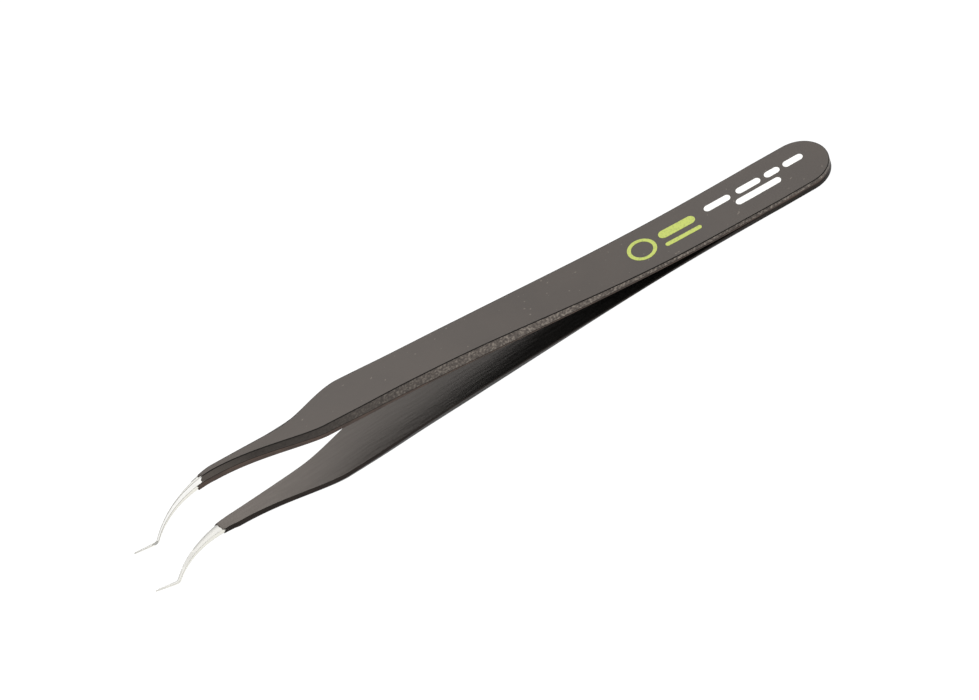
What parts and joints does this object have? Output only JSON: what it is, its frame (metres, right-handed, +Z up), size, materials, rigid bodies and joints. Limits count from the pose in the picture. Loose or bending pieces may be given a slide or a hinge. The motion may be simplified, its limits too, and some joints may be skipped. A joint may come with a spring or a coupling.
{
  "type": "precision tweezers",
  "caption": "Spring-steel tweezers with a dark epoxy coat, blades welded at the heel, and bare polished tips that curve to one side and end in a short fine point.",
  "frame": {"origin": "middle of the whole tool's footprint, on the surface that it lies on", "axes": "+X along the tool towards the heel, tips towards -X and curving towards -Y, +Z up through the flat of the blades"},
  "size_m": [0.1201, 0.0114, 0.0135],
  "materials": {
    "blade_steel": "polished stainless spring steel",
    "weld_steel": "resistance spot weld",
    "epoxy_coat": "matte black antistatic epoxy powder coat, fine orange peel",
    "white_ink": "pad-printed ink",
    "green_ink": "pad-printed ink"
  },
  "bodies": {
    "heel": {"upper_blade_heel": "blade_steel", "lower_blade_heel": "blade_steel", "heel_spot_welds": "weld_steel", "heel_coating": "epoxy_coat", "upper_blade_spring": "blade_steel", "lower_blade_spring": "blade_steel", "upper_coating_spring": "epoxy_coat", "lower_coating_spring": "epoxy_coat", "white_print_long_row": "white_ink", "white_print_short_row": "white_ink", "green_print_ring": "green_ink", "green_print_rows": "green_ink"},
    "upper_arm": {"upper_blade_arm": "blade_steel", "upper_coating_arm": "epoxy_coat"},
    "lower_arm": {"lower_blade_arm": "blade_steel", "lower_coating_arm": "epoxy_coat"}
  },
  "joints": [
    {"name": "upper_arm_squeeze", "type": "hinge", "parent": "heel", "child": "upper_arm", "pos_m": [0.03608, 0.00078, 0.00292], "axis": [0, -1, 0], "range_deg": [0, 2.61], "stiffness_Nm_per_rad": 0.95, "deforming": ["upper_blade_spring", "upper_coating_spring", "white_print_long_row", "white_print_short_row", "green_print_ring", "green_print_rows"]},
    {"name": "lower_arm_squeeze", "type": "hinge", "parent": "heel", "child": "lower_arm", "pos_m": [0.03601, 0.00078, 0.00166], "axis": [0, 1, 0], "range_deg": [0, 2.61], "stiffness_Nm_per_rad": 0.95, "deforming": ["lower_blade_spring", "lower_coating_spring"]}
  ]
}
